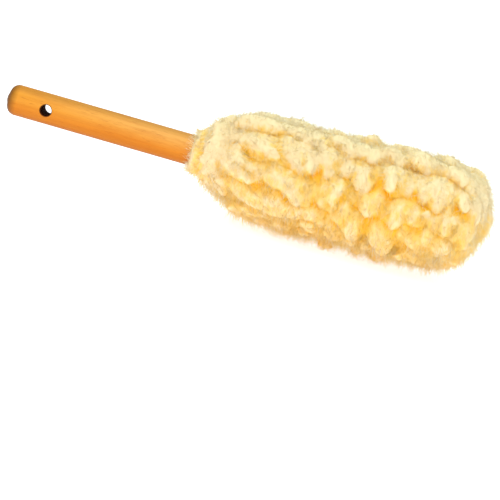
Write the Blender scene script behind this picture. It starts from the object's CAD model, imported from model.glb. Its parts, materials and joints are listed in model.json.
"""The looks of a wool wheel brush: a varnished beech dowel and a head of long drooping wool locks."""
import json
import math

import bpy
import numpy as np
from mathutils import Matrix, Vector
from mathutils.bvhtree import BVHTree


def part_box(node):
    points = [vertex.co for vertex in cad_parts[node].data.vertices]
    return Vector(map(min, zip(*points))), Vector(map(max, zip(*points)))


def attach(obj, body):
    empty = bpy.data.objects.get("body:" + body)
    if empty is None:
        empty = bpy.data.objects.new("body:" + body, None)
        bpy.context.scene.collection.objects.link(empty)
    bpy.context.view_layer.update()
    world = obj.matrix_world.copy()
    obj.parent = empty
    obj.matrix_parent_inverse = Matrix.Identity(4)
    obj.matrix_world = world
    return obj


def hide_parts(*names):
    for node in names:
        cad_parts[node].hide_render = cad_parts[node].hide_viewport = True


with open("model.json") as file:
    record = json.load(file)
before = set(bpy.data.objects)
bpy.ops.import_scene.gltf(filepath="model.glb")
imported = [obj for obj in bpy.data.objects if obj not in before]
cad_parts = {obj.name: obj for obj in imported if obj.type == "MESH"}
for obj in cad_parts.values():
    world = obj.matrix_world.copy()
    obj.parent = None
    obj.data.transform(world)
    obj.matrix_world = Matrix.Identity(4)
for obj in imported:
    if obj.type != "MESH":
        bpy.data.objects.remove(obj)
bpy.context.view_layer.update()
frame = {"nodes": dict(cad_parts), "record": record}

# ------------------------------ places, all taken from the CAD part
HANDLE_LO, HANDLE_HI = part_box("handle")
HIDE_LO, HIDE_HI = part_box("hide_sleeve")
NECK_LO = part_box("wool_neck")[0]
ROW_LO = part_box("wool_row_01")[0]
TIP_LO, TIP_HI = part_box("wool_tip")
AXIS_Z = (HANDLE_LO.z + HANDLE_HI.z) / 2
HANDLE_R = (HANDLE_HI.z - HANDLE_LO.z) / 2
HIDE_R = (HIDE_HI.z - HIDE_LO.z) / 2
BUTT_X, END_X = HANDLE_LO.x, TIP_HI.x
LENGTH = END_X - BUTT_X
MIDDLE_X = (BUTT_X + END_X) / 2
ROWS = sum(name.startswith("wool_row_") for name in frame["nodes"])
ROW_ANGLE = 2 * math.pi / ROWS
HOLE = frame["record"]["mounts"][0]  # the hanging hole, the part's only mount
HOLE_X, HOLE_R = HOLE["pos_m"][0], HOLE["dims"]["r_mm"] / 1000

# ------------------------------ camera
AZIMUTH, ELEVATION, ROLL = 4.0, 11.0, 15.4  # degrees
DISTANCE = 2.2
LENGTH_SHARE = 0.999  # the brush's length, as a share of the frame's width
AIM_RIGHT, AIM_DOWN = 0.008, 0.1685  # how far the frame's middle lies from the brush's, as shares
SENSOR = 36.0
NEAREST, FARTHEST = 0.05, 60


def make_camera():
    a, e = math.radians(AZIMUTH), math.radians(ELEVATION)
    back = Vector((math.sin(a) * math.cos(e), -math.cos(a) * math.cos(e), math.sin(e)))
    width = LENGTH * math.cos(a) / LENGTH_SHARE
    turn = (-back).to_track_quat("-Z", "Y").to_matrix() @ Matrix.Rotation(math.radians(ROLL), 3, "Z")
    middle = Vector((MIDDLE_X, 0, AXIS_Z))
    aim = middle + turn @ Vector((AIM_RIGHT * width, -AIM_DOWN * width, 0))
    data = bpy.data.cameras.new("camera")
    data.sensor_width = SENSOR
    data.lens = SENSOR * DISTANCE / width
    data.clip_start, data.clip_end = NEAREST, FARTHEST
    cam = bpy.data.objects.new("camera", data)
    cam.location = aim + back * DISTANCE
    cam.rotation_mode = "QUATERNION"
    cam.rotation_quaternion = turn.to_quaternion()
    bpy.context.scene.collection.objects.link(cam)
    bpy.context.scene.camera = cam


make_camera()


# ------------------------------ material helpers
def srgb(r, g, b):
    """A colour given as 0 to 255 display values, as the linear values that nodes use."""
    def linear(c):
        c /= 255
        return c / 12.92 if c <= 0.04045 else ((c + 0.055) / 1.055) ** 2.4
    return (linear(r), linear(g), linear(b), 1.0)


class Nodes:
    """A short way to build a material's node tree."""

    def __init__(self, name):
        self.material = bpy.data.materials.new(name)
        self.material.use_nodes = True
        self.tree = self.material.node_tree
        self.tree.nodes.clear()
        self.out = self.tree.nodes.new("ShaderNodeOutputMaterial")

    def add(self, kind, inputs=None, **settings):
        node = self.tree.nodes.new("ShaderNode" + kind)
        for key, value in settings.items():
            setattr(node, key, value)
        for key, value in (inputs or {}).items():
            self.put(node.inputs[key], value)
        return node

    def put(self, socket, value):
        if isinstance(value, bpy.types.NodeSocket):
            self.tree.links.new(value, socket)
        else:
            socket.default_value = value

    def math(self, operation, a, b=0.0):
        return self.add("Math", {0: a, 1: b}, operation=operation).outputs[0]

    def place(self, scale=(1, 1, 1), offset=(0, 0, 0)):
        """The place on the object; a larger scale along an axis makes a pattern finer along it."""
        where = self.add("TexCoord").outputs["Object"]
        return self.add("Mapping", {"Vector": where, "Scale": scale, "Location": offset}).outputs[0]

    def noise(self, where, scale, detail=3.0, roughness=0.5, distortion=0.0):
        return self.add("TexNoise", {
            "Vector": where, "Scale": scale, "Detail": detail,
            "Roughness": roughness, "Distortion": distortion}).outputs["Fac"]

    def cells(self, scale):
        return self.add("TexVoronoi", {"Vector": self.place(), "Scale": scale}).outputs["Distance"]

    def ramp(self, value, stops):
        node = self.add("ValToRGB", {"Fac": value})
        ramp = node.color_ramp
        while len(ramp.elements) < len(stops):
            ramp.elements.new(0.5)
        for element, (at, colour) in zip(ramp.elements, stops):
            element.position = at
            element.color = colour
        return node.outputs["Color"]

    def span(self, value, low, high, to_low=0.0, to_high=1.0):
        return self.add("MapRange", {
            "Value": value, "From Min": low, "From Max": high,
            "To Min": to_low, "To Max": to_high}).outputs["Result"]

    def mix(self, share, a, b):
        node = self.add("Mix", data_type="RGBA")
        self.put(node.inputs[0], share)
        self.put(node.inputs[6], a)
        self.put(node.inputs[7], b)
        return node.outputs[2]

    def bump(self, height, distance, strength):
        inputs = {"Height": height, "Distance": distance, "Strength": strength}
        return self.add("Bump", inputs).outputs["Normal"]

    def principled(self, **inputs):
        node = self.add("BsdfPrincipled", {key.replace("_", " "): v for key, v in inputs.items()})
        self.put(self.out.inputs["Surface"], node.outputs["BSDF"])
        return self.material


# ------------------------------ materials of the handle and of the inside
def beech():
    """Varnished beech: broad bands along the dowel, short rays, fine grain and pores."""
    n = Nodes("varnished_beech")
    split = n.add("SeparateXYZ", {"Vector": n.place()}).outputs
    x, up = split[0], n.math("SUBTRACT", split[2], AXIS_Z)
    bands = n.noise(n.place((3, 60, 60), (0.3, 0.1, 0.2)), 1.0, 3, 0.55, 0.4)
    rays = n.noise(n.place((28, 150, 150), (1.7, 0.4, 2.2)), 1.0, 3, 0.6, 0.5)
    grain = n.noise(n.place((14, 520, 520)), 1.0, 4, 0.6, 0.2)
    pores = n.span(n.noise(n.place((120, 1500, 1500), (4, 2, 1)), 1.0, 1, 0.5), 0.66, 0.74)
    # the layers that the dowel was sawn across, which wander with the bands
    layer = n.math("ABSOLUTE", n.math("ADD", up, n.span(bands, 0.3, 0.7, -0.0038, -0.0004)))
    upper_side = n.span(up, -0.003, 0.006)
    towards_head = n.span(x, BUTT_X + 0.02, BUTT_X + 0.13)
    away = n.math("SUBTRACT", x, HOLE_X)
    reach = n.math("SQRT", n.math("ADD", n.math("MULTIPLY", away, away), n.math("MULTIPLY", up, up)))
    hole = n.span(reach, HOLE_R + 0.00085, HOLE_R + 0.00015)
    tints = [  # how strong each is, where it lies, and its colour
        (0.45, n.math("MULTIPLY", upper_side, towards_head), srgb(246, 184, 108)),  # paler near the head
        (0.34, n.span(rays, 0.5, 0.72), srgb(206, 112, 22)),
        (0.80, n.span(layer, 0.0065, 0.0135), srgb(170, 110, 24)),  # darker upper and lower edges
        (0.28, n.span(grain, 0.42, 0.7), srgb(190, 100, 26)),
        (0.45, pores, srgb(170, 84, 24)),
        (0.60, n.span(up, 0.003, -0.010), srgb(200, 104, 10)),  # a redder underside
        (0.55, n.span(up, -0.0085, -0.0120), srgb(160, 96, 14)),  # and its lowest part
        (0.92, n.span(x, BUTT_X + 0.010, BUTT_X + 0.003), srgb(104, 62, 8)),  # end grain at the butt
        (1.00, hole, srgb(84, 32, 4))]  # the bare wall of the hanging hole
    wood = n.ramp(bands, [(0.3, srgb(224, 134, 34)), (0.5, srgb(233, 150, 44)), (0.72, srgb(239, 160, 62))])
    for strength, where, colour in tints:
        wood = n.mix(n.math("MULTIPLY", where, strength), wood, colour)
    relief = n.math("ADD", n.math("MULTIPLY", grain, 0.7), n.math("MULTIPLY", pores, -0.5))
    return n.principled(
        Base_Color=wood, Roughness=n.math("MAXIMUM", n.span(grain, 0.3, 0.7, 0.44, 0.56), hole),
        Normal=n.bump(relief, 0.00012, 0.5), Specular_IOR_Level=0.14)


def leather():
    n = Nodes("sheepskin_hide")
    patches = n.noise(n.place(), 60.0, 4)
    skin = n.ramp(patches, [(0.3, srgb(232, 198, 150)), (0.7, srgb(247, 221, 182))])
    return n.principled(
        Base_Color=skin, Roughness=n.span(patches, 0.3, 0.7, 0.62, 0.8),
        Normal=n.bump(n.cells(900.0), 0.0003, 0.6))


def foam():
    n = Nodes("open_cell_foam")
    cells = n.cells(700.0)
    tone = n.ramp(cells, [(0.1, srgb(176, 168, 140)), (0.6, srgb(222, 216, 194))])
    return n.principled(Base_Color=tone, Roughness=0.95, Normal=n.bump(cells, 0.0006, 0.8))


def felt():
    n = Nodes("pressed_felt")
    fibres = n.noise(n.place((1, 1, 3)), 800.0, 5, 0.7, 1.5)
    tone = n.ramp(fibres, [(0.35, srgb(112, 108, 100)), (0.65, srgb(158, 154, 146))])
    return n.principled(Base_Color=tone, Roughness=0.95, Normal=n.bump(fibres, 0.0004, 0.8))


def thread():
    n = Nodes("waxed_thread")
    twist = n.add(
        "TexWave", {"Vector": n.place(), "Scale": 420.0, "Distortion": 1.0},
        bands_direction="DIAGONAL").outputs["Fac"]
    tone = n.ramp(twist, [(0.2, srgb(206, 190, 158)), (0.8, srgb(244, 234, 212))])
    return n.principled(Base_Color=tone, Roughness=0.6, Normal=n.bump(twist, 0.0001, 0.7))


def tack_steel():
    n = Nodes("tack_steel")
    wear = n.noise(n.place(), 1500.0, 4, 0.6)
    tone = n.ramp(wear, [(0.35, srgb(150, 150, 150)), (0.65, srgb(196, 197, 200))])
    return n.principled(Base_Color=tone, Metallic=1.0, Roughness=n.span(wear, 0.3, 0.7, 0.25, 0.45))


# ------------------------------ materials of the wool
# The socket values that every wool material shares
WOOL = dict(
    Roughness=0.95, Specular_IOR_Level=0.05, Sheen_Weight=0.10, Sheen_Roughness=0.6,
    Sheen_Tint=(1.0, 0.86, 0.6, 1.0))
THIN = dict(Subsurface_Weight=0.8, Subsurface_Scale=0.0006, Subsurface_Radius=(1.0, 1.0, 1.0))
# The wool's colours by depth, from amber deep between the locks to cream on their crests
TONES = [
    (0.06, srgb(255, 193, 20)), (0.30, srgb(255, 200, 48)), (0.54, srgb(255, 207, 90)),
    (0.76, srgb(255, 216, 128)), (0.98, srgb(252, 226, 178))]
FIBRE_LEVELS = 7  # the fibres have this many plain materials, picked by depth


def wool_locks():
    """Locks of wool: amber where they are deep and pale on their crests, with fine crimped strands."""
    n = Nodes("wool_locks")
    tone = n.add("Attribute", attribute_name="depth").outputs["Fac"]
    fine = n.noise(n.place((1, 1, 0.35)), 900.0, 3, 0.6)
    coarse = n.noise(n.place((1, 1, 0.4)), 330.0, 2, 0.5)
    blotch = n.noise(n.place(), 70.0, 3)
    for pattern, swing in ((coarse, 0.08), (fine, 0.06), (blotch, 0.08)):
        tone = n.math("ADD", tone, n.span(pattern, 0.3, 0.7, -swing, swing))
    relief = n.math("ADD", n.math("MULTIPLY", fine, 0.6), coarse)
    return n.principled(
        Base_Color=n.ramp(tone, TONES), Normal=n.bump(relief, 0.0008, 0.28), **WOOL)


def tone_at(depth):
    """The wool's colour at a depth from 0, at the roots, to 1, at the tips."""
    at = [stop[0] for stop in TONES]
    return tuple(float(np.interp(depth, at, [stop[1][c] for stop in TONES])) for c in range(4))


def wool_fibre(level):
    """Loose fibres, in one of a few tones that follow how deep in the pile they grow."""
    n = Nodes("wool_fibre_%d" % (level + 1))
    return n.principled(Base_Color=tone_at((level + 0.5) / FIBRE_LEVELS), **WOOL, **THIN)


FIBRE_TONES = [wool_fibre(level) for level in range(FIBRE_LEVELS)]
LOCK_MATERIAL = wool_locks()


# ------------------------------ helpers for points and directions
def smooth(low, high, x):
    """From 0 at low to 1 at high, with an even start and finish. Low may be the larger of the two."""
    t = np.clip((x - low) / (high - low), 0, 1)
    return t * t * (3 - 2 * t)


def unit(v):
    return v / (np.linalg.norm(v, axis=-1, keepdims=True) + 1e-12)


def dot(a, b):
    return (a * b).sum(-1, keepdims=True)


def times(v, share):
    """Each vector times its own number."""
    return v * share[..., None]


def around(angle):
    """The direction away from the head's axis at an angle from the top towards the front."""
    return np.stack([np.zeros_like(angle), -np.sin(angle), np.cos(angle)], -1)


def turn_of(place):
    """The angle round the head's axis from the top towards the front, from -pi to pi."""
    return np.arctan2(-place[..., 1], place[..., 2] - AXIS_Z)


def radius_of(place):
    """The distance from the head's axis."""
    return np.hypot(place[..., 1], place[..., 2] - AXIS_Z)


def off_axis(out, along, away):
    """Vectors with one part along the head's axis and the other in the direction out."""
    v = times(out, away)
    v[..., 0] += along
    return v


def placed(out, x, r):
    """Points at x, at the distance r from the head's axis in the direction out."""
    p = off_axis(out, x, r)
    p[..., 2] += AXIS_Z
    return p


def waves(place, pitch, seed, count=12):
    """A smooth random field, mostly between -1 and 1, with about that distance between its crests."""
    pick = np.random.default_rng(seed)
    total = np.zeros(place.shape[:-1])
    for k in range(count):
        way = unit(pick.normal(0, 1, 3)) * 2 * math.pi / (pitch * pick.uniform(0.75, 1.35))
        total += np.cos(place @ way + pick.uniform(0, 2 * math.pi))
    return total / math.sqrt(count)


# ------------------------------ the head's outline
HEAD_R = 0.0470  # the crests of the locks, before their loose fibres
BARREL_FROM, BARREL_TO = BUTT_X + 0.234, BUTT_X + 0.336  # the head is at its widest between these
WOOL_X = NECK_LO.x + 0.0095  # the first locks; their wisps reach back over the end of the handle
HEAD_END = END_X - 0.0070  # the last locks; their curls stand out past the end of the CAD part
LIP = 0.003  # how far before the first locks the outline would close
NECK_IN, NECK_OUT, TIP_IN, TIP_OUT = 2.0, 2.5, 5.0, 3.3  # the powers of the curves that round both ends
OUTLINE_POINTS = 1600


def outline_radius(x):
    """The radius of the head's surface at x."""
    x = np.asarray(x, float)
    neck = np.clip((BARREL_FROM - x) / (BARREL_FROM - WOOL_X + LIP), 0, 1)
    tip = np.clip((x - BARREL_TO) / (HEAD_END - BARREL_TO), 0, 1)
    return HEAD_R * (1 - neck ** NECK_IN) ** (1 / NECK_OUT) * (1 - tip ** TIP_IN) ** (1 / TIP_OUT)


def outline():
    """Points along the head's outline from the neck to the tip: x, radius, distance along it."""
    turn = np.linspace(0, 1, OUTLINE_POINTS)
    x = WOOL_X + (HEAD_END - WOOL_X) * 0.5 * (1 - np.cos(np.pi * turn))
    r = outline_radius(x)
    r[-1] = 0
    along = np.concatenate([[0], np.cumsum(np.hypot(np.diff(x), np.diff(r)))])
    return x, r, along


OUT_X, OUT_R, OUT_S = outline()


def on_outline(s):
    """Place and outward direction, as (x, radius) pairs, at distance s along the outline."""
    step = 0.0012
    x, r = np.interp(s, OUT_S, OUT_X), np.interp(s, OUT_S, OUT_R)
    dx = np.interp(s + step, OUT_S, OUT_X) - np.interp(s - step, OUT_S, OUT_X)
    dr = np.interp(s + step, OUT_S, OUT_R) - np.interp(s - step, OUT_S, OUT_R)
    size = np.hypot(dx, dr) + 1e-12
    return x, r, -dr / size, dx / size


SLIM_NECK, SLIM_TIP = (0.212, 0.168), (0.350, 0.392)  # from the butt: where it sets in, and is complete
SLIM_TIP_SHARE = 0.55
SLIM_TURN = (1.2, 2.2)  # from the top


def slim_below(x, turn):
    """How much slimmer the head is on the underside, where it starts and where it ends."""
    run = x - BUTT_X
    share = np.maximum(smooth(*SLIM_NECK, run), SLIM_TIP_SHARE * smooth(*SLIM_TIP, run))
    return share * smooth(*SLIM_TURN, np.abs(turn))


# ------------------------------ how the wool leans
FORWARD = 0.7  # how far the wool on top falls to the front
FORWARD_TURN = (1.3, 0.4)  # from the top: where that sets in, and is complete
SWEEP_SETS_IN, SWEEP_DIES_OUT = (0.004, 0.018), (0.095, 0.045)  # behind the first locks
SWEEP, SWEEP_LEAST, SWEEP_BACK = 1.25, 0.12, 0.6  # the first locks lean back over the handle


def swept(run):
    """How strongly the wool is swept towards the tip, at a distance behind the first locks."""
    return smooth(*SWEEP_SETS_IN, run) * smooth(*SWEEP_DIES_OUT, run)


def nap(place, normal):
    """How the wool leans at a place on the head: down with gravity, forwards on the top, and
    towards the tip along the first part of the head."""
    x, turn = place[..., 0:1], turn_of(place)[..., None]
    down = np.array([0, 0, -1.0])
    fall = down - dot(normal, down) * normal
    forward = np.concatenate([np.zeros_like(turn), -np.cos(turn), -np.sin(turn)], -1)
    level = np.sqrt(np.clip(1 - normal[..., 0:1] ** 2, 0, 1))
    fall = fall + forward * FORWARD * smooth(*FORWARD_TURN, np.abs(turn + 0.15)) * level
    fall = unit(fall) * np.minimum(1, 0.1 + np.linalg.norm(fall, axis=-1, keepdims=True))
    axis = np.array([1.0, 0, 0])
    towards_tip = axis - dot(normal, axis) * normal
    run = x - WOOL_X
    sweep = SWEEP_LEAST + SWEEP * swept(run) - SWEEP_BACK * smooth(0.010, 0.001, run)
    return fall * (1 - 0.40 * np.minimum(np.abs(sweep), 1.4)) + towards_tip * sweep


# ------------------------------ where the locks grow
rng = np.random.default_rng(20)  # every draw but those of waves() comes from here, in this order
LAYERS = 2  # of locks, one over the other
RING_START, RING_PITCH = 0.005, 0.0155  # along the outline
END_PITCH, END_RING_R = 0.0125, 0.021  # smaller rings have as many locks as this pitch gives
SINK = 0.0024  # how much deeper the second layer lies
S_JITTER, TURN_JITTER, SIZE_JITTER = 0.0022, 0.05, 0.13
SMALLEST, LARGEST = 0.78, 1.3


def node_at(x, row, count):
    """The node that a lock of a ring at x belongs to, by its row and the ring's count of locks."""
    if x < ROW_LO.x + 0.002:
        return "wool_neck"
    if x > TIP_LO.x + 0.004 or count != ROWS:
        return "wool_tip"
    return "wool_row_%02d" % (row + 1)


def grow():
    """One dict of arrays, an entry for each lock: where it grows, how deep it lies, and its node."""
    locks = {k: [] for k in ("s", "angle", "node", "size", "sunk")}
    total = OUT_S[-1]
    rings = int(round((total - 0.004) / RING_PITCH))
    for layer in range(LAYERS):
        for k in range(rings):
            s_ring = RING_START + (k + 0.5 * layer) * RING_PITCH
            x, r = np.interp(s_ring, OUT_S, OUT_X), np.interp(s_ring, OUT_S, OUT_R)
            count = ROWS if r > END_RING_R else max(1, int(round(2 * math.pi * r / END_PITCH)))
            for i in range(count):
                stagger = 0.25 if (i + k) % 2 else -0.25
                s = s_ring + stagger * RING_PITCH * 0.8 + rng.normal(0, S_JITTER)
                angle = math.pi + (i + 0.5 + 0.05 * layer) * 2 * math.pi / count
                angle += rng.normal(0, TURN_JITTER)
                locks["s"].append(min(max(s, 0.001), total - 0.001))
                locks["angle"].append(angle)
                locks["node"].append(node_at(x, i, count))
                locks["size"].append(float(np.clip(rng.normal(1, SIZE_JITTER), SMALLEST, LARGEST)))
                locks["sunk"].append(SINK * layer)
    return {k: np.array(v) for k, v in locks.items()}


LOCKS = grow()
COUNT = len(LOCKS["s"])

# ------------------------------ the shape of the locks
LOCK_REACH, LOCK_THICK, LOCK_WIDE = 0.0195, 0.0090, 0.0096  # crest to tip, half thickness, half width
FULL_FROM, FULL_TO = (0.24, 0.31), (0.395, 0.345)  # from the butt, where the top is fuller
FULL, FULL_MORE = 0.0012, 0.0058  # how much fuller, everywhere and there
SLIMMER, CLOSER, TUCK = 0.0105, 0.0056, 0.0055  # how far the underside's locks are drawn in
ROOT_DEPTH, ROOT_BACK = 0.012, 0.022  # under the barrel's outline, and back from the tip


def lock_roots(out, x, r, nx):
    """Where the locks leave the hide, or the dowel where the hide is drawn in on to it."""
    deep = np.minimum(HIDE_R, np.maximum(r - ROOT_DEPTH, 0.1 * r))
    root_x = np.clip(x - nx * ROOT_BACK, HIDE_LO.x + 0.004, HIDE_HI.x + 0.002)
    root_r = np.where(root_x < HIDE_LO.x + 0.012, np.minimum(deep, HANDLE_R + 0.003), deep)
    return placed(out, root_x, root_r)


def shape_locks():
    """The four control points of each lock's middle line, its half width, its half thickness, and
    the direction across it."""
    x, r, nx, nr = on_outline(LOCKS["s"])
    out, size = around(LOCKS["angle"]), LOCKS["size"]
    normal, along, surface = off_axis(out, nx, nr), off_axis(out, nr, -nx), placed(out, x, r)
    turn, run = turn_of(surface), x - BUTT_X
    root = lock_roots(out, x, r, nx)
    lean = nap(surface, normal) + along * rng.normal(0, 0.13, (COUNT, 1))
    lean = lean + np.cross(normal, along) * rng.normal(0, 0.09, (COUNT, 1))
    reach = (LOCK_REACH * size * (1 + rng.normal(0, 0.10, COUNT)) * (1 + 0.3 * swept(x - WOOL_X)))[:, None]
    thick = LOCK_THICK * size * (1 + rng.normal(0, 0.06, COUNT))
    wide = LOCK_WIDE * size * (1 + rng.normal(0, 0.07, COUNT))
    # slimmer locks fit near the ends, and thinner ones where the handle leaves little room
    wide *= 0.72 + 0.28 * smooth(0.0, 0.024, r)
    room = smooth(HANDLE_R, 0.034, r) * (x < MIDDLE_X) + (x >= MIDDLE_X)
    thick *= 0.42 + 0.58 * room
    # the top is fuller towards the tip
    full = FULL + FULL_MORE * smooth(*FULL_FROM, run) * smooth(*FULL_TO, run)
    on_top, below = smooth(1.1, 0.5, np.abs(turn + 0.1)), smooth(1.9, 2.6, np.abs(turn))
    lift = rng.normal(0, 0.0013, COUNT) - LOCKS["sunk"] + full * on_top - SLIMMER * slim_below(x, turn)
    lift = lift - CLOSER * below
    crest = surface + times(normal, lift - thick * 0.95)
    p1 = root + (crest - root) * 0.5 - lean * 0.004
    p2 = crest + normal * 0.001 - lean * reach * 0.25
    p3 = crest + lean * reach + times(normal, 0.0005 - TUCK * smooth(1.6, 2.4, np.abs(turn)))
    return root, p1, p2, p3, wide, thick, unit(np.cross(normal, lean))


P0, P1, P2, P3, WIDE, THICK, ACROSS = shape_locks()
PHASE = rng.uniform(0, 2 * math.pi, (COUNT, 4))  # the first two of a lock's four place its lumps
TIP_BEND, TIP_RISE = BUTT_X + 0.290, 0.0040
KNEE, KNEE_SOFT = 0.0525, 0.0065  # points past the first are drawn in to within the second of it
FLOOR, FLOOR_SOFT = 0.0008, 0.0009
CLEARANCE = 0.0006  # between the handle or the hide and the wool
FLARE_FROM, FLARE_TO = HIDE_LO.x + 0.010, HIDE_LO.x + 0.028  # the hide widens here, from dowel to foam
CAP_END = HIDE_HI.x + 0.0025  # the far side of the hide's cap


def above_floor(p):
    """Points near the floor are pressed flat against it."""
    z = p[..., 2]
    p[..., 2] = FLOOR + FLOOR_SOFT * np.logaddexp(0, (z - FLOOR) / FLOOR_SOFT)
    return p


def core_radius(x):
    """The radius of what the wool grows on: the dowel, then the flare of the hide, then nothing."""
    inside = HANDLE_R + CLEARANCE + (HIDE_R - HANDLE_R) * smooth(FLARE_FROM, FLARE_TO, x)
    return np.where(x > CAP_END, 0.0, inside)


def widened(p, ratio):
    """Points moved away from the head's axis, or towards it, in that ratio."""
    p[..., 1] *= ratio
    p[..., 2] = AXIS_Z + (p[..., 2] - AXIS_Z) * ratio
    return p


def clear_of_core(p):
    """Points inside the dowel or the hide are moved out to just above its surface."""
    r = radius_of(p) + 1e-9
    return widened(p, np.maximum(r, core_radius(p[..., 0])) / r)


def within_reach(p, knee=KNEE, soft=KNEE_SOFT):
    """Points that stand far off the axis are drawn in, so that nothing leaves the brush's outline."""
    r = radius_of(p) + 1e-9
    return widened(p, np.where(r > knee, knee + soft * np.tanh((r - knee) / soft), r) / r)


def bent(p):
    """The far end of the head curls up a little."""
    p[..., 2] += TIP_RISE * smooth(TIP_BEND, END_X, p[..., 0])
    return p


def finished(p):
    """Points drawn in, and kept above the floor and clear of the handle and the hide."""
    return clear_of_core(above_floor(within_reach(p)))


def lock_points(i, t, a):
    """Points on the skin of locks i at t from root to tip and angle a round the lock."""
    u = 1 - t
    b = [u ** 3, 3 * u * u * t, 3 * u * t * t, t ** 3]
    middle = sum(w[..., None] * p[i] for w, p in zip(b, (P0, P1, P2, P3)))
    slope = times(P1[i] - P0[i], 3 * u * u) + times(P2[i] - P1[i], 6 * u * t)
    slope = unit(slope + times(P3[i] - P2[i], 3 * t * t))
    side = unit(ACROSS[i] - dot(ACROSS[i], slope) * slope)
    face = np.cross(slope, side)
    # a narrow root, a full belly and a blunt rounded tip
    belly = 0.34 + 0.66 * smooth(0.05, 0.60, t)
    close = np.sqrt(np.clip(1 - (np.clip(t - 0.62, 0, 1) / 0.38) ** 2.2, 0, 1))
    p = PHASE[i]
    lumps = 0.05 * np.sin(2 * a + p[..., 0] + 3 * t) + 0.04 * np.sin(3 * a + p[..., 1] - 5 * t)
    r = belly * close * (1 + lumps * smooth(0.1, 0.5, t))
    return middle + times(side, WIDE[i] * r * np.cos(a)) + times(face, THICK[i] * r * np.sin(a))


# ------------------------------ mesh building
def build(name, parts, materials, attributes=()):
    """One object from parts, each with points, quads, triangles, material slots and attributes."""
    mesh = bpy.data.meshes.new(name)
    points = np.concatenate([p["points"] for p in parts])
    loops, starts, totals, slots, base, at = [], [], [], [], 0, 0
    for p in parts:
        for faces, size in ((p["quads"], 4), (p["tris"], 3)):
            if len(faces):
                loops.append((faces + base).ravel())
                starts.append(at + size * np.arange(len(faces)))
                totals.append(np.full(len(faces), size))
                slots.append(np.broadcast_to(p["slot4"] if size == 4 else p["slot3"], len(faces)))
                at += size * len(faces)
        base += len(p["points"])
    loops = np.concatenate(loops).astype(np.int32)
    starts = np.concatenate(starts).astype(np.int32)
    mesh.vertices.add(len(points))
    mesh.vertices.foreach_set("co", points.astype(np.float32).ravel())
    mesh.loops.add(len(loops))
    mesh.loops.foreach_set("vertex_index", loops)
    mesh.polygons.add(len(starts))
    mesh.polygons.foreach_set("loop_start", starts)
    mesh.polygons.foreach_set("loop_total", np.concatenate(totals).astype(np.int32))
    for material in materials:
        mesh.materials.append(material)
    layer = mesh.attributes.new("material_index", "INT", "FACE")
    layer.data.foreach_set("value", np.concatenate(slots).astype(np.int32))
    for key in attributes:
        values = np.concatenate([p[key] for p in parts]).astype(np.float32)
        mesh.attributes.new(key, "FLOAT", "POINT").data.foreach_set("value", values)
    mesh.shade_smooth()
    mesh.update()
    mesh.validate()
    obj = bpy.data.objects.new(name, mesh)
    bpy.context.scene.collection.objects.link(obj)
    return obj


def plain(points, quads, tris=np.zeros((0, 3), int)):
    """A part with one material."""
    return {"points": points, "quads": quads, "tris": tris, "slot4": 0, "slot3": 0}


def tube_faces(count, rings, sides):
    """Quads and triangles of count closed tubes: rings of points, then the root's and tip's points."""
    each = rings * sides + 2
    k, j = np.meshgrid(np.arange(rings - 1), np.arange(sides), indexing="ij")
    a, b = k * sides + j, k * sides + (j + 1) % sides
    quads = np.stack([a, b, b + sides, a + sides], -1).reshape(-1, 4)
    j = np.arange(sides)
    root = np.stack([np.full(sides, rings * sides), (j + 1) % sides, j], -1)
    last = (rings - 1) * sides
    tip = np.stack([np.full(sides, rings * sides + 1), last + j, last + (j + 1) % sides], -1)
    tris = np.concatenate([root, tip])
    shift = each * np.arange(count)[:, None, None]
    return (quads[None] + shift).reshape(-1, 4), (tris[None] + shift).reshape(-1, 3)


def tubes(path, radius, sides, tone=0):
    """Closed thin tubes along paths (n, rings + 1, 3), which come to a point."""
    n, m = path.shape[:2]
    slope = unit(np.gradient(path, axis=1))
    pick = np.where(np.abs(slope[..., 2:3]) < 0.8, [[[0, 0, 1.0]]], [[[1.0, 0, 0]]])
    one = unit(np.cross(slope, pick))
    two = np.cross(slope, one)
    a = (np.arange(sides) * 2 * math.pi / sides)[None, None, :, None]
    rings = m - 1
    taper = radius[:, None] * np.sqrt(1 - (np.arange(rings) / rings) ** 2)[None]
    ring = one[:, :-1, None] * np.cos(a) + two[:, :-1, None] * np.sin(a)
    body = path[:, :-1, None] + taper[..., None, None] * ring
    points = np.concatenate([body.reshape(n, -1, 3), path[:, :1], path[:, -1:]], 1)
    quads, tris = tube_faces(n, rings, sides)
    tone = np.broadcast_to(tone, n)
    return {
        "points": points.reshape(-1, 3), "quads": quads, "tris": tris,
        "slot4": np.repeat(tone, (rings - 1) * sides), "slot3": np.repeat(tone, 2 * sides)}


# ------------------------------ the body of each tract of wool
LOCK_RINGS, LOCK_SIDES = 16, 18
TUFTS_PER_ROW, TUFTS_PER_END, TUFT_SIDES = 30, 120, 9
TUFT_DEPTH, TUFT_DEEPER = 0.0120, 0.0060  # under the outline, and where the head is slimmer


def lock_bodies(which):
    """The closed plain bodies of these locks."""
    n = len(which)
    turn = np.linspace(0, 1, LOCK_RINGS + 2)
    t = 0.5 * turn + 0.5 * np.sin(turn * math.pi / 2)  # closer together towards the tip
    t[0], t[-1] = 0, 1
    a = np.arange(LOCK_SIDES) * 2 * math.pi / LOCK_SIDES
    tt = np.broadcast_to(t[1:-1][None, :, None], (n, LOCK_RINGS, LOCK_SIDES))
    aa = np.broadcast_to(a[None, None, :], tt.shape)
    ii = np.broadcast_to(which[:, None, None], tt.shape)
    ends = [lock_points(which, np.full(n, e), np.zeros(n))[:, None] for e in (0.0, 1.0)]
    points = np.concatenate([lock_points(ii, tt, aa).reshape(n, -1, 3)] + ends, 1)
    return plain(points.reshape(-1, 3), *tube_faces(n, LOCK_RINGS, LOCK_SIDES))


def row_number(node):
    """A row's number, from 1, or 0 for the neck and the tip."""
    return int(node[-2:]) if node.startswith("wool_row_") else 0


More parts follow.
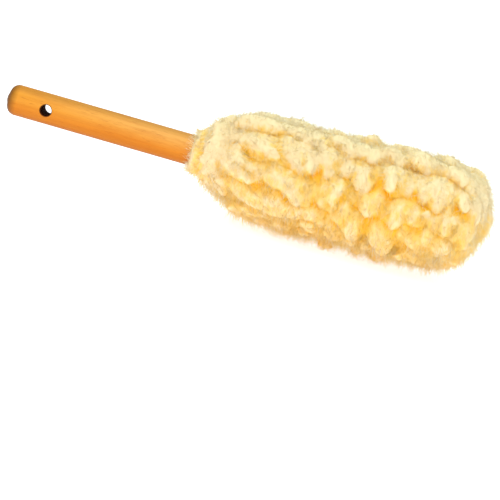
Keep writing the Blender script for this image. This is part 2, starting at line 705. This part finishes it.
def angle_in_row(number, share):
    """The angle at a share of the row's width from its middle."""
    return math.pi + (number - 0.5 + share) * ROW_ANGLE


def under_tufts(node):
    """Short curls all over the underwool, so that no bare ground shows between the locks."""
    lo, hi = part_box(node)
    number = row_number(node)
    n = TUFTS_PER_ROW if number else TUFTS_PER_END
    s_lo, s_hi = np.interp((max(lo.x, WOOL_X + 0.002), hi.x - 0.0004), OUT_X, OUT_S)
    s = rng.uniform(s_lo, s_hi, n)
    if number:
        angle = angle_in_row(number, rng.uniform(-0.62, 0.62, n))
    else:
        angle = rng.uniform(0, 2 * math.pi, n)
    x, r, nx, nr = on_outline(s)
    normal, place = off_axis(around(angle), nx, nr), placed(around(angle), x, r)
    size = rng.uniform(0.0044, 0.0066, n)
    way = unit(nap(place, normal) + rng.normal(0, 0.3, (n, 3)))
    sunk = np.minimum(r * 0.28, TUFT_DEPTH) + TUFT_DEEPER * slim_below(x, turn_of(place))
    foot = place - times(normal, sunk)
    path = []
    for k in (-1.4, -0.7, 0.0, 0.6, 1.1, 1.4):
        path.append(foot + times(normal, size * (0.45 - 0.3 * k * k)) + times(way, size * 1.5 * k))
    return tubes(np.stack(path, 1), size, TUFT_SIDES)


BED_R = 0.0405
BED_RAISED = 0.0050  # the wool on top is felted closer together, so its bed is higher
BED_LIP, BED_LEAST = 0.0012, 0.0026  # a thin lip, then deep enough to cover the tacks
BED_GAP = 0.0004  # the bed stops this far inside its node's box
BED_STEPS, BED_TURNS, BED_ROW_TURNS = 40, 72, 9
ROW_HALF = 0.56  # half of a row's bed, as a share of its width, so that beds overlap


def row_edge(x, number):
    """How far the edge between two rows wanders round the head."""
    return 0.10 * ROW_ANGLE * (np.sin(x * 300 + 1.7 * number) + 0.6 * np.sin(x * 720 + 2.9 * number))


def bed_surfaces(node):
    """The outer and the inner points of a bed, on a grid of turns round the head and steps along it."""
    lo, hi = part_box(node)
    number = row_number(node)
    if number:
        mid = angle_in_row(number, 0)
        turn = np.linspace(mid - ROW_HALF * ROW_ANGLE, mid + ROW_HALF * ROW_ANGLE, BED_ROW_TURNS)
    else:
        turn = np.linspace(0, 2 * math.pi, BED_TURNS, endpoint=False)
    x_from = max(lo.x + BED_GAP, HIDE_LO.x - 0.0002)
    x = np.linspace(x_from, min(hi.x - BED_GAP, HEAD_END - 0.008), BED_STEPS)
    inner = core_radius(x) + 0.0008
    tt, xx = np.meshgrid(turn, x, indexing="ij")
    if number:
        share = np.linspace(0, 1, len(turn))[:, None]
        tt = tt + (1 - share) * row_edge(xx, number - 1) + share * row_edge(xx, number % ROWS)
    high = smooth(0.30, 0.75, np.cos(tt))
    outer = np.minimum(BED_R + BED_RAISED * high, outline_radius(x)[None] * (0.84 + 0.11 * high))
    outer = outer * (1 - 0.22 * slim_below(xx, (tt + math.pi) % (2 * math.pi) - math.pi))
    least = inner + BED_LIP + BED_LEAST * smooth(HIDE_LO.x, HIDE_LO.x + 0.0022, x)
    outer = np.maximum(least, outer)
    return [placed(around(tt), xx, np.broadcast_to(r, tt.shape)) for r in (outer, inner)]


def bed(node):
    """The dense underwool of a row, the neck or the tip, as a closed body on the hide."""
    outer, inner = bed_surfaces(node)
    n, m = outer.shape[:2]
    loop = not row_number(node)
    rounds = n if loop else n - 1
    below = n * m  # from a point's number to that of the inner point under it
    i, j = np.meshgrid(np.arange(rounds), np.arange(m - 1), indexing="ij")
    a, b = i * m + j, ((i + 1) % n) * m + j
    top = np.stack([a, b, b + 1, a + 1], -1).reshape(-1, 4)
    quads = [top, (top + below)[:, ::-1]]

    def wall(a, b, flip):
        side = np.stack([a, a + below, b + below, b], -1)
        quads.append(side[:, ::-1] if flip else side)
    i = np.arange(rounds)
    for column, flip in ((0, False), (m - 1, True)):
        wall(i * m + column, ((i + 1) % n) * m + column, flip)
    if not loop:
        j = np.arange(m - 1)
        for row, flip in ((0, True), (n - 1, False)):
            wall(row * m + j, row * m + j + 1, flip)
    points = np.concatenate([outer.reshape(-1, 3), inner.reshape(-1, 3)])
    return plain(points, np.concatenate(quads))


# ------------------------------ one skin for each tract of wool
VOXEL = 0.0012


def merged(parts):
    """The union of closed parts as one closed skin: its points and its quads."""
    rough = build("rough", parts, [])
    join = rough.modifiers.new("join", "REMESH")
    join.mode, join.voxel_size = "VOXEL", VOXEL
    bpy.context.view_layer.update()
    mesh = rough.evaluated_get(bpy.context.evaluated_depsgraph_get()).data
    points = np.zeros(len(mesh.vertices) * 3, np.float32)
    mesh.vertices.foreach_get("co", points)
    quads = np.zeros(len(mesh.loops), np.int32)
    mesh.loops.foreach_get("vertex_index", quads)
    points, quads = points.reshape(-1, 3).astype(float), quads.reshape(-1, 4)
    source = rough.data
    bpy.data.objects.remove(rough)
    bpy.data.meshes.remove(source)
    return largest(points, quads)


def edges_of(quads):
    return quads.ravel(), np.roll(quads, -1, 1).ravel()


def largest(points, quads):
    """The largest connected part of a skin, without the small hollows closed up inside it."""
    a, b = edges_of(quads)
    label = np.arange(len(points))
    while True:
        low = np.minimum(label[a], label[b])
        new = label.copy()
        np.minimum.at(new, a, low)
        np.minimum.at(new, b, low)
        new = new[new]
        if (new == label).all():
            break
        label = new
    keep = label == np.bincount(label).argmax()
    place = np.cumsum(keep) - 1
    return points[keep], place[quads[keep[quads[:, 0]]]]


def gathered(at, vectors, count):
    """The sum of the vectors that belong to each of count points."""
    return np.stack([np.bincount(at, column, count) for column in vectors.T], -1)


def softened(points, quads, rounds, share=0.5):
    """The points moved towards the mean of their neighbours, that many times."""
    a, b = edges_of(quads)
    number = np.bincount(a, minlength=len(points))[:, None] + 1e-9
    for _ in range(rounds):
        points = points + share * (gathered(a, points[b], len(points)) / number - points)
    return points


def normals_of(points, quads):
    p = points[quads]
    face = np.cross(p[:, 2] - p[:, 0], p[:, 3] - p[:, 1])
    return unit(gathered(quads.ravel(), np.repeat(face, 4, 0), len(points)))


SOFT_ROUNDS, BRUSH_ROUNDS = 12, 26
BRUSHED = 0.85  # the top, which dries uppermost, is brushed smoother than the sides
WAVE, WAVE_PITCH = 0.00038, 0.0080
CRIMP, CRIMP_PITCH = 0.00008, 0.0040
KNEE_BELOW, SOFT_BELOW = 0.0098, 0.0030  # how much closer the underside is pressed


def fleece_skin(node):
    """A node's wool as one closed skin: locks and curls run into each other, with a waved surface."""
    which = np.nonzero(LOCKS["node"] == node)[0]
    points, quads = merged([bed(node), lock_bodies(which), under_tufts(node)])
    points = softened(points, quads, SOFT_ROUNDS)
    turn = turn_of(points)
    brushed = BRUSHED * smooth(0.45, 0.85, np.cos(turn - 0.12))[:, None]
    points = points + brushed * (softened(points, quads, BRUSH_ROUNDS) - points)
    spread = np.stack([points[:, 0], 0.4 * turn * HEAD_R, radius_of(points)], -1)
    relief = WAVE * waves(points, WAVE_PITCH, 1) + CRIMP * waves(spread, CRIMP_PITCH, 2)
    points = points + times(normals_of(points, quads), relief)
    # no lock hangs below the head
    below = smooth(1.5, 2.2, np.abs(turn))
    points = within_reach(points, KNEE - KNEE_BELOW * below, KNEE_SOFT - SOFT_BELOW * below)
    points = finished(bent(points))
    return {"points": points, "quads": quads, "normal": normals_of(points, quads)}


SKINS = {node: fleece_skin(node) for node in sorted(n for n in frame["nodes"] if n.startswith("wool_"))}

# ------------------------------ how deep in the pile each point lies
CELL_S, COLUMNS = 0.0015, 200
LOOKS = (0.0015, 0.003, 0.005, 0.0075, 0.011)  # how far round each point the map is searched
WAYS = 8
EMPTY = -0.02  # the height of a cell that no wool reaches
BLEACH = 0.24  # the wool on top is cleaner and more bleached than below


def heights(points):
    """Distance along the outline, and height above it, of points near it."""
    radial = radius_of(points)
    # a few steps along the outline, from its point with the same x to the nearest one
    s = np.interp(points[:, 0], OUT_X, OUT_S)
    for _ in range(6):
        x, r, nx, nr = on_outline(s)
        s = np.clip(s + 0.7 * ((points[:, 0] - x) * nr - (radial - r) * nx), 0, OUT_S[-1])
    x, r, nx, nr = on_outline(s)
    return s, (points[:, 0] - x) * nx + (radial - r) * nr


def cells(s, turn):
    """The cell of the height map for each place on the outline and turn round the axis."""
    row = np.clip((s / CELL_S).astype(int), 0, int(OUT_S[-1] / CELL_S) + 1)
    return row, np.floor(turn / (2 * math.pi) * COLUMNS).astype(int) % COLUMNS


def height_map():
    """The height of the outermost wool over the head's outline, on a grid."""
    grid = np.full((int(OUT_S[-1] / CELL_S) + 2, COLUMNS), EMPTY)
    for skin in SKINS.values():
        s, h = heights(skin["points"])
        np.maximum.at(grid, cells(s, turn_of(skin["points"])), h)
    pad = np.pad(grid, ((1, 1), (0, 0)), "edge")
    near = np.max([pad[:-2], pad[2:], np.roll(grid, 1, 1), np.roll(grid, -1, 1)], 0)
    return np.where(grid < EMPTY + 0.005, near, grid)


HEIGHTS = height_map()


def openness(points):
    """From 0 to 1, how much of the sky a point in the pile sees over the wool around it."""
    s, h = heights(points)
    turn = turn_of(points)
    r = np.maximum(np.interp(s, OUT_S, OUT_R), 0.012)
    total = np.zeros(len(points))
    for way in np.arange(WAYS) * 2 * math.pi / WAYS:
        rise = np.zeros(len(points))
        for look in LOOKS:
            there = HEIGHTS[cells(s + look * math.cos(way), turn + look * math.sin(way) / r)]
            rise = np.maximum(rise, (there - h - 0.0004) / look)
        total += 1 - rise / np.hypot(1, rise)
    return total / WAYS


def depth_at(skin):
    """From 0, deep between the locks, to 1, on their crests."""
    points = skin["points"]
    run = points[:, 0] - WOOL_X
    along = smooth(BARREL_FROM, BARREL_TO, points[:, 0])
    up = (points[:, 2] - AXIS_Z) / np.maximum(radius_of(points), 0.036)
    hollow = dot(points - softened(points, skin["quads"], 30), skin["normal"])[:, 0]
    depth = 0.80 * smooth(0.20, 1.08, openness(points)) + 0.20 * smooth(-0.0012, 0.0014, hollow)
    depth = depth + BLEACH * np.where(up > 0, up, 0.4 * up) * (0.3 + 0.7 * depth)
    # the sides are yellower towards the tip, and the wool is paler at the neck
    depth = depth - 0.07 * along * smooth(0.6, 0.1, up) * smooth(-0.6, -0.2, up)
    depth = depth + 0.17 * smooth(0.042, 0.010, run)
    # sun and rain even out the top, most of all towards the far end
    faded = (0.28 + 0.30 * along) * smooth(0.5, 0.8, up)
    depth = depth + faded * (1.0 - depth)
    # neither the underside nor the neck and its lip have deep amber
    depth = np.maximum(depth, 0.56 * smooth(-0.2, -0.7, up))
    depth = np.maximum(depth, 0.62 * smooth(0.024, 0.008, run))
    depth = np.maximum(depth, 0.8 * smooth(0.004, -0.003, run))
    return softened(depth[:, None], skin["quads"], 3)[:, 0]


for skin in SKINS.values():
    skin["depth"] = depth_at(skin)

# ------------------------------ loose fibres
CURLS_PER_AREA, FUZZ_PER_AREA, WISPS_PER_AREA = 0.03e6, 0.50e6, 0.05e6  # fibres a square metre
FRINGE = 1500
STRAND_SIDES = 3
CURL_POINTS, WISP_POINTS, FRINGE_POINTS = 7, 6, 5
CURL_RADIUS, FUZZ_RADIUS = (0.00012, 0.00026), (0.00007, 0.00013)
WISP_RADIUS, FRINGE_RADIUS = (0.00012, 0.00020), (0.00008, 0.00018)
CURL_LENGTH, WISP_LENGTH = (0.006, 0.012), (0.0045, 0.0095)
FUZZ_LONGEST, FRINGE_LONGEST = 0.011, 0.009
TONE_SPREAD = 0.02


def scatter(skin, per_area):
    """Random places on the outer face of a skin: place, normal and depth."""
    quads = skin["quads"]
    tris = np.concatenate([quads[:, [0, 1, 2]], quads[:, [0, 2, 3]]])
    p = skin["points"][tris]
    area = 0.5 * np.linalg.norm(np.cross(p[:, 1] - p[:, 0], p[:, 2] - p[:, 0]), axis=1)
    seen = smooth(0.22, 0.55, skin["depth"][tris].mean(1))
    total = np.cumsum(area * seen)
    n = int(total[-1] * per_area)
    pick = np.searchsorted(total, rng.uniform(0, total[-1], n))
    u, v = rng.uniform(0, 1, (2, n))
    flip = u + v > 1
    u, v = np.where(flip, 1 - u, u), np.where(flip, 1 - v, v)
    share = np.stack([1 - u - v, u, v], -1)
    tri = tris[pick]

    def blend(values):
        return (values[tri] * share.reshape(n, 3, *([1] * (values.ndim - 1)))).sum(1)
    return blend(skin["points"]), unit(blend(skin["normal"])), blend(skin["depth"])


def tone_of(depth):
    """The fibre material for a depth from 0, at the roots, to 1, at the tips."""
    return np.clip(depth * FIBRE_LEVELS, 0, FIBRE_LEVELS - 1).astype(int)


def strands(path, radius, tone):
    """Fine fibres along paths, each a list of the fibres' points."""
    return tubes(finished(np.stack(path, 1)), radius, STRAND_SIDES, tone)


def curls(skin, per_area):
    """Thin crimped strands that lie on the wool and follow its nap."""
    place, normal, depth = scatter(skin, per_area)
    n = len(place)
    tree = BVHTree.FromPolygons(skin["points"].tolist(), skin["quads"].tolist())
    flow = unit(nap(place, normal) + 0.25 * normal + rng.normal(0, 0.30, (n, 3)))
    length = rng.uniform(*CURL_LENGTH, n)
    lift = rng.uniform(-0.0001, 0.0005, n)
    path = [place - normal * 0.0006]
    at, way = place, flow
    for k in range(1, CURL_POINTS):
        way = unit(way - dot(way, normal) * normal * 0.9)
        reach = at + times(way, length / (CURL_POINTS - 1))
        found = [tree.find_nearest(q) for q in reach.tolist()]
        found = np.array([f[0][:] + f[1][:] for f in found])
        at, normal = found[:, :3], found[:, 3:]
        swing = 0.0005 * np.sin(2 * math.pi * k / 3.2 + 5 * waves(place, 0.012, 7))
        rise = lift + 0.0008 * (k / CURL_POINTS) ** 3
        path.append(at + (times(normal, rise) + times(np.cross(normal, way), swing)))
    depth = depth + rng.normal(0, TONE_SPREAD, n)
    return strands(path, rng.uniform(*CURL_RADIUS, n), tone_of(depth))


def fuzz(skin, per_area):
    """Single fine fibres that stand off the wool and soften its outline."""
    place, normal, depth = scatter(skin, per_area)
    n = len(place)
    aim = unit(normal * 0.85 + 0.6 * unit(nap(place, normal)) + rng.normal(0, 0.42, (n, 3)))
    curl = unit(rng.normal(0, 1, (n, 3)))
    length = np.minimum(rng.gamma(2.2, 0.0021, n), FUZZ_LONGEST)
    length *= 0.35 + 0.65 * smooth(WOOL_X - 0.002, WOOL_X + 0.006, place[:, 0])
    path = []
    for k in (0, 0.5, 1):
        bend = times(curl, 0.38 * length * k * k)
        bend[:, 2] -= 0.15 * length * k * k
        path.append(place - normal * 0.0002 + times(aim, length * k) + bend)
    depth = depth + rng.normal(0, TONE_SPREAD, n)
    return strands(path, rng.uniform(*FUZZ_RADIUS, n), tone_of(depth))


def wisps(skin, per_area):
    """Longer crimped fibres that have worked loose and stand well off the wool."""
    place, normal, depth = scatter(skin, per_area)
    n = len(place)
    aim = unit(normal * 0.9 + 0.5 * unit(nap(place, normal)) + rng.normal(0, 0.35, (n, 3)))
    side = unit(np.cross(aim, rng.normal(0, 1, (n, 3))))
    other = np.cross(aim, side)
    length = rng.uniform(*WISP_LENGTH, n)
    phase = rng.uniform(0, 2 * math.pi, n)
    turns = rng.uniform(3.5, 6.5, n)
    path = []
    for k in np.linspace(0, 1, WISP_POINTS):
        swing, turn = 0.12 * length * k, turns * k + phase
        bend = times(side, swing * np.cos(turn)) + times(other, swing * np.sin(turn))
        bend[:, 2] -= 0.22 * length * k * k
        path.append(place - normal * 0.0003 + times(aim, length * k) + bend)
    return strands(path, rng.uniform(*WISP_RADIUS, n), tone_of(depth + 0.08))


def fringe(count):
    """Fine wool that reaches back from the lip of the fleece over the end of the dowel."""
    out = around(rng.uniform(0, 2 * math.pi, count))
    radius = rng.uniform(HANDLE_R + 0.0014, HANDLE_R + 0.0040, count)
    start = placed(out, HIDE_LO.x + rng.uniform(0.0015, 0.011, count), radius)
    length = np.minimum(rng.gamma(2.6, 0.0017, count), FRINGE_LONGEST)
    aim = np.array([-1.0, 0, 0]) + out * rng.normal(0.25, 0.22, (count, 1))
    aim = unit(aim + rng.normal(0, 0.22, (count, 3)))
    curl = unit(rng.normal(0, 1, (count, 3)))
    path = []
    for k in np.linspace(0, 1, FRINGE_POINTS):
        path.append(start + times(aim, length * k) + times(curl, 0.3 * length * k * k))
    tone = tone_of(rng.uniform(0.68, 1.0, count))
    return strands(path, rng.uniform(*FRINGE_RADIUS, count), tone)


# ------------------------------ the wool's pieces
for node, skin in SKINS.items():
    wool = {**plain(skin["points"], skin["quads"]), "depth": skin["depth"]}
    locks = build(node + "_locks", [wool], [LOCK_MATERIAL], ["depth"])
    fibres = [curls(skin, CURLS_PER_AREA), fuzz(skin, FUZZ_PER_AREA), wisps(skin, WISPS_PER_AREA)]
    if node == "wool_neck":
        fibres.append(fringe(FRINGE))
    fleece = build(node + "_fleece", fibres, FIBRE_TONES)
    for piece in (locks, fleece):
        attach(piece, "root")
    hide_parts(node)

# ------------------------------ the CAD nodes that stay
CAD_MATERIALS = {
    "handle": beech(), "hide_sleeve": leather(), "core_sleeve": foam(), "tip_pad": felt(),
    "side_seam_thread": thread(), "neck_tacks": tack_steel()}
CAD_MATERIALS["hide_tip_cap"] = CAD_MATERIALS["hide_sleeve"]
CAD_MATERIALS["tip_seam_thread"] = CAD_MATERIALS["side_seam_thread"]
for node, material in CAD_MATERIALS.items():
    obj = frame["nodes"][node]
    obj.data.materials.clear()
    obj.data.materials.append(material)

# ------------------------------ floor, light and world
HEAD = Vector((0.07, 0, AXIS_Z))  # what the lamps point at
FLOOR_HALF = 14.0


def make_floor():
    n = Nodes("floor")
    grit = n.noise(n.place(), 3.0, 2)
    tone = n.ramp(grit, [(0.3, (0.64, 0.64, 0.64, 1)), (0.7, (0.68, 0.68, 0.68, 1))])
    # a faint glow, stronger away from the brush, keeps the whole floor white
    away = n.add("VectorMath", {0: n.place()}, operation="LENGTH").outputs["Value"]
    material = n.principled(
        Base_Color=tone, Roughness=0.95, Emission_Color=(1, 0.95, 1.0, 1),
        Emission_Strength=n.span(away, 0.2, 1.6, 0.78, 0.95))
    mesh = bpy.data.meshes.new("floor")
    corners = [(x * FLOOR_HALF, y * FLOOR_HALF, 0) for x, y in ((-1, -1), (1, -1), (1, 1), (-1, 1))]
    mesh.from_pydata(corners, [], [(0, 1, 2, 3)])
    mesh.materials.append(material)
    floor = bpy.data.objects.new("floor", mesh)
    bpy.context.scene.collection.objects.link(floor)


def area_light(name, place, size, power, colour):
    data = bpy.data.lights.new(name, "AREA")
    data.shape, data.size, data.energy, data.color = "DISK", size, power, colour
    light = bpy.data.objects.new(name, data)
    light.location = place
    light.rotation_mode = "QUATERNION"
    light.rotation_quaternion = (HEAD - Vector(place)).to_track_quat("-Z", "Y")
    bpy.context.scene.collection.objects.link(light)


def make_world():
    """A soft white studio, warmer below and cooler above."""
    world = bpy.data.worlds.new("studio")
    world.use_nodes = True
    nodes, links = world.node_tree.nodes, world.node_tree.links
    height = nodes.new("ShaderNodeSeparateXYZ")
    shade = nodes.new("ShaderNodeValToRGB")
    shade.color_ramp.elements[0].color = (1.0, 0.95, 0.88, 1)
    shade.color_ramp.elements[1].color = (0.80, 0.95, 1.0, 1)
    links.new(nodes.new("ShaderNodeTexCoord").outputs["Generated"], height.inputs[0])
    links.new(height.outputs["Z"], shade.inputs["Fac"])
    links.new(shade.outputs["Color"], nodes["Background"].inputs["Color"])
    nodes["Background"].inputs["Strength"].default_value = 0.75
    bpy.context.scene.world = world


make_floor()
area_light("key", (-0.35, -1.6, 1.15), size=0.9, power=5.1, colour=(1.0, 0.89, 0.84))
area_light("top", (0.1, -0.25, 1.6), size=1.2, power=13.4, colour=(0.70, 0.97, 0.97))
make_world()
bpy.context.scene.view_settings.view_transform = "Standard"
